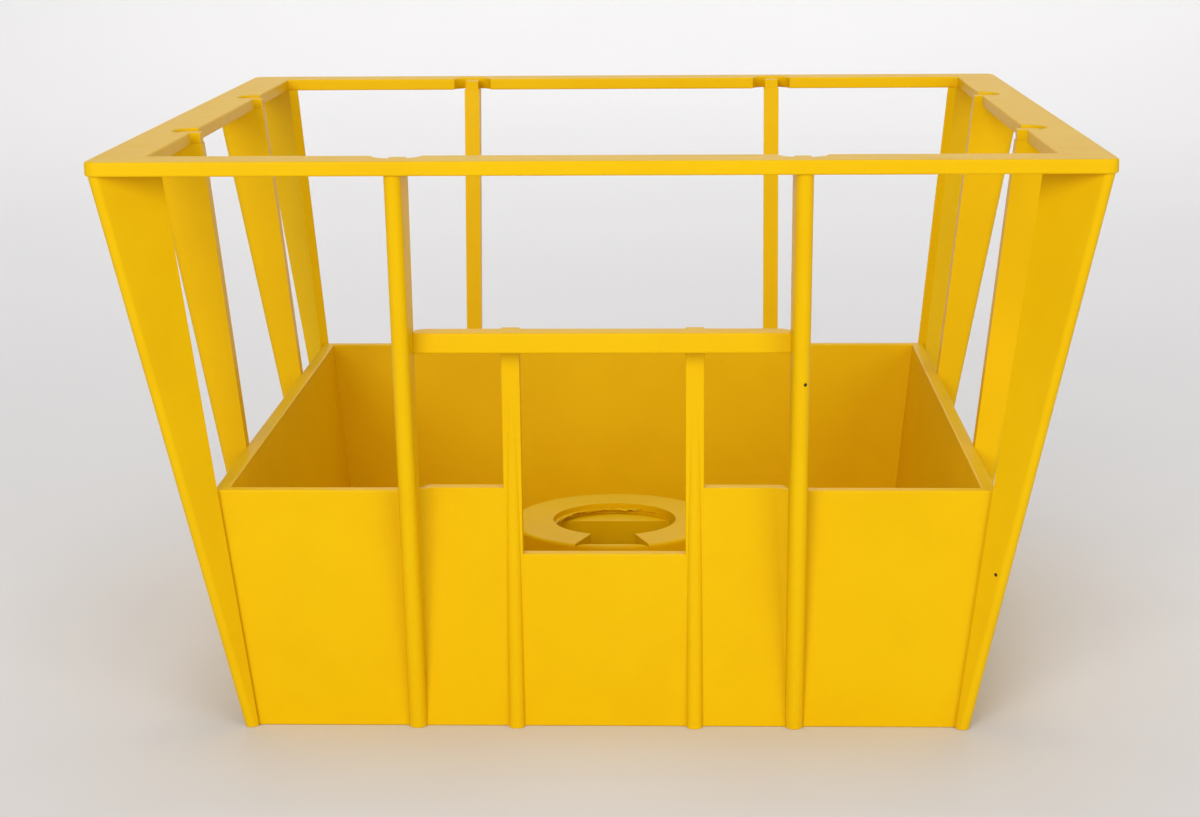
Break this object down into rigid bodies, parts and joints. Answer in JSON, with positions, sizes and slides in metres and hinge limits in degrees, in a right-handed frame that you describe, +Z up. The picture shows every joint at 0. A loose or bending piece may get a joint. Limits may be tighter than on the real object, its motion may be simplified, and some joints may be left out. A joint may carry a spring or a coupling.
{
  "type": "open-window cabin frame",
  "caption": "Square moulded plastic cabin frame: low walls, floor with a slotted collar, outward-leaning posts, a flat top rail and a doorway bay.",
  "frame": {"origin": "middle of the square base, on the plane that the base rim stands on", "axes": "+Z up towards the top rail, -Y out through the doorway bay, +X to the right when the doorway is in front"},
  "size_m": [0.1076, 0.1076, 0.0664],
  "materials": {
    "yellow_plastic": "satin moulded plastic, one colour all through"
  },
  "bodies": {
    "root": {"bay_panel_left": "yellow_plastic", "bay_panel_right": "yellow_plastic", "bay_return_left": "yellow_plastic", "bay_return_right": "yellow_plastic", "corner_post_front_left": "yellow_plastic", "corner_post_front_right": "yellow_plastic", "corner_post_rear_left": "yellow_plastic", "corner_post_rear_right": "yellow_plastic", "door_panel": "yellow_plastic", "door_post_left": "yellow_plastic", "door_post_right": "yellow_plastic", "floor_collar": "yellow_plastic", "floor_plate": "yellow_plastic", "front_post_left": "yellow_plastic", "front_post_right": "yellow_plastic", "front_wall_left": "yellow_plastic", "front_wall_right": "yellow_plastic", "left_mullion_front": "yellow_plastic", "left_mullion_rear": "yellow_plastic", "left_wall": "yellow_plastic", "rear_mullion_left": "yellow_plastic", "rear_mullion_right": "yellow_plastic", "rear_wall": "yellow_plastic", "right_mullion_front": "yellow_plastic", "right_mullion_rear": "yellow_plastic", "right_wall": "yellow_plastic", "top_rail_front": "yellow_plastic", "top_rail_left": "yellow_plastic", "top_rail_rear": "yellow_plastic", "top_rail_right": "yellow_plastic", "transom": "yellow_plastic"}
  },
  "joints": []
}
